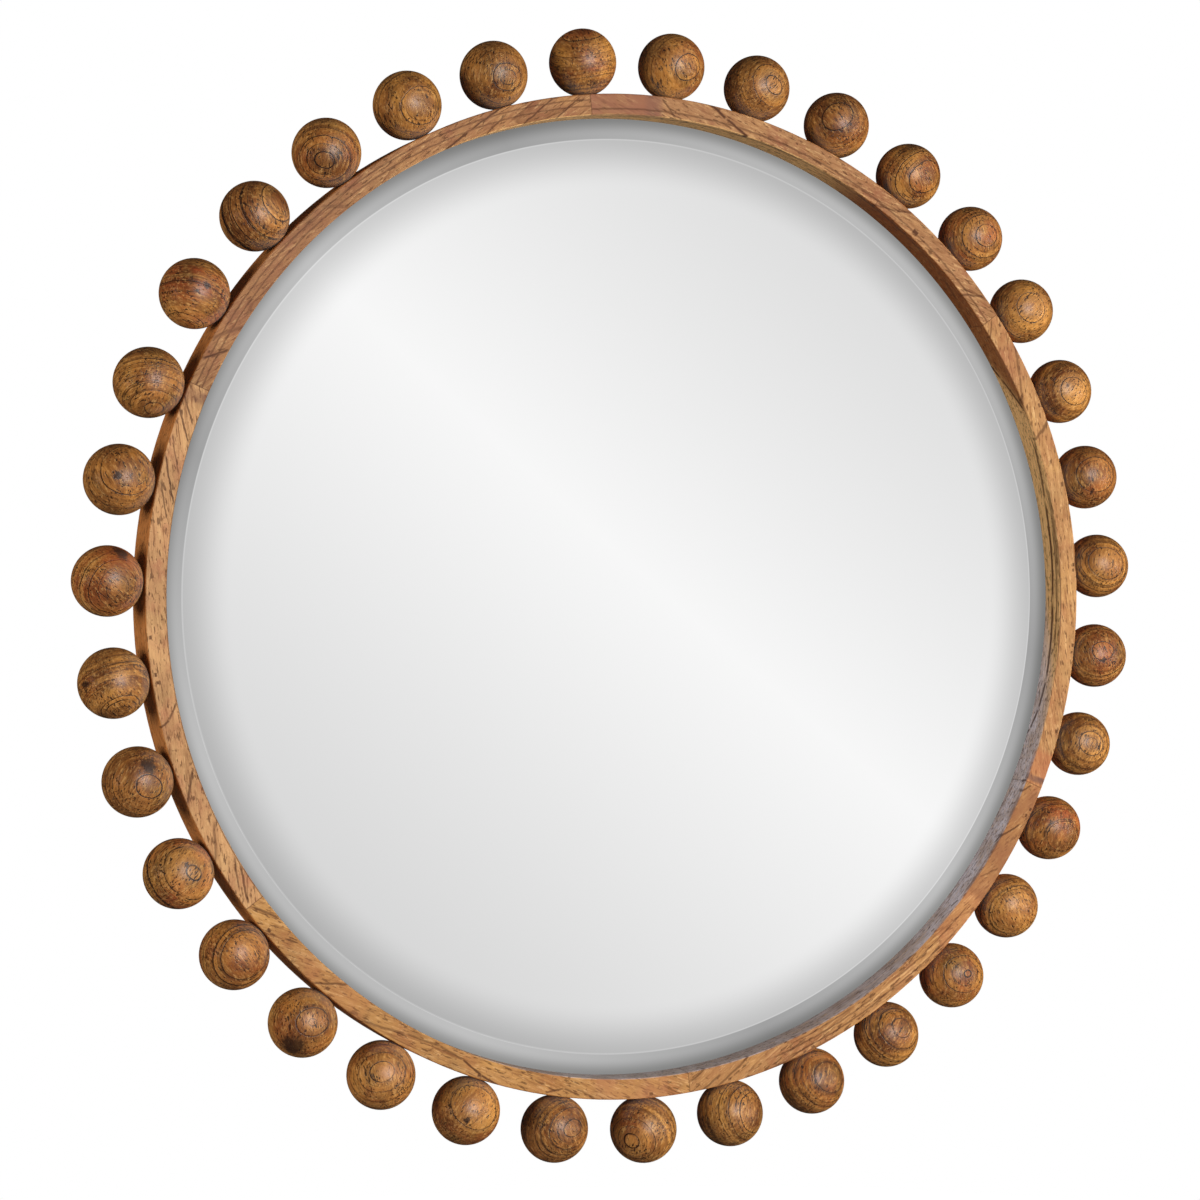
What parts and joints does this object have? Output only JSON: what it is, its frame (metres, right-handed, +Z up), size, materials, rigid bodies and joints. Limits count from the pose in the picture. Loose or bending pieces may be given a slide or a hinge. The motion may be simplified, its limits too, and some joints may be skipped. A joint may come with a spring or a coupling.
{
  "type": "round wall mirror",
  "caption": "Round bevelled wall mirror set back in a deep ring of solid wood, with turned wood balls standing round its outer edge and swinging ring hangers behind.",
  "frame": {"origin": "centre of the ring frame, in the plane of its back face, which is the plane of the wall", "axes": "+Y points into the wall, so the mirror looks towards -Y; +Z is up and +X is to the right as seen from the front"},
  "size_m": [1.066, 0.0685, 1.065],
  "materials": {
    "ring_wood": "satin honey-tan stain",
    "ball_wood": "satin walnut-brown stain",
    "dowel_wood": "raw beech",
    "mirror_glass": "bevelled and polished, silvered behind",
    "foam_tape": "matte foam",
    "backing_board": "raw fibreboard",
    "clip_steel": "zinc plated",
    "screw_steel": "yellow zinc plated",
    "hanger_steel": "zinc plated",
    "hanger_wire": "zinc plated wire"
  },
  "bodies": {
    "mirror": {"ring_segment_1": "ring_wood", "ring_segment_2": "ring_wood", "ring_segment_3": "ring_wood", "ring_segment_4": "ring_wood", "ring_segment_5": "ring_wood", "ring_segment_6": "ring_wood", "ball_01": "ball_wood", "ball_02": "ball_wood", "ball_03": "ball_wood", "ball_04": "ball_wood", "ball_05": "ball_wood", "ball_06": "ball_wood", "ball_07": "ball_wood", "ball_08": "ball_wood", "ball_09": "ball_wood", "ball_10": "ball_wood", "ball_11": "ball_wood", "ball_12": "ball_wood", "ball_13": "ball_wood", "ball_14": "ball_wood", "ball_15": "ball_wood", "ball_16": "ball_wood", "ball_17": "ball_wood", "ball_18": "ball_wood", "ball_19": "ball_wood", "ball_20": "ball_wood", "ball_21": "ball_wood", "ball_22": "ball_wood", "ball_23": "ball_wood", "ball_24": "ball_wood", "ball_25": "ball_wood", "ball_26": "ball_wood", "ball_27": "ball_wood", "ball_28": "ball_wood", "ball_29": "ball_wood", "ball_30": "ball_wood", "ball_31": "ball_wood", "ball_32": "ball_wood", "ball_33": "ball_wood", "ball_34": "ball_wood", "ball_35": "ball_wood", "ball_dowels": "dowel_wood", "joint_dowels": "dowel_wood", "mirror_glass": "mirror_glass", "foam_tape": "foam_tape", "backing_board": "backing_board", "board_clips": "clip_steel", "clip_screws": "screw_steel", "hanger_strap_left": "hanger_steel", "hanger_strap_right": "hanger_steel", "hanger_screws": "screw_steel"},
    "left_ring": {"hanger_ring_left": "hanger_wire"},
    "right_ring": {"hanger_ring_right": "hanger_wire"}
  },
  "joints": [
    {"name": "left_ring_swing", "type": "hinge", "parent": "mirror", "child": "left_ring", "pos_m": [-0.3, -0.00602, 0.2], "axis": [1, 0, 0], "range_deg": [0, 178]},
    {"name": "right_ring_swing", "type": "hinge", "parent": "mirror", "child": "right_ring", "pos_m": [0.3, -0.00602, 0.2], "axis": [1, 0, 0], "range_deg": [0, 178]}
  ]
}
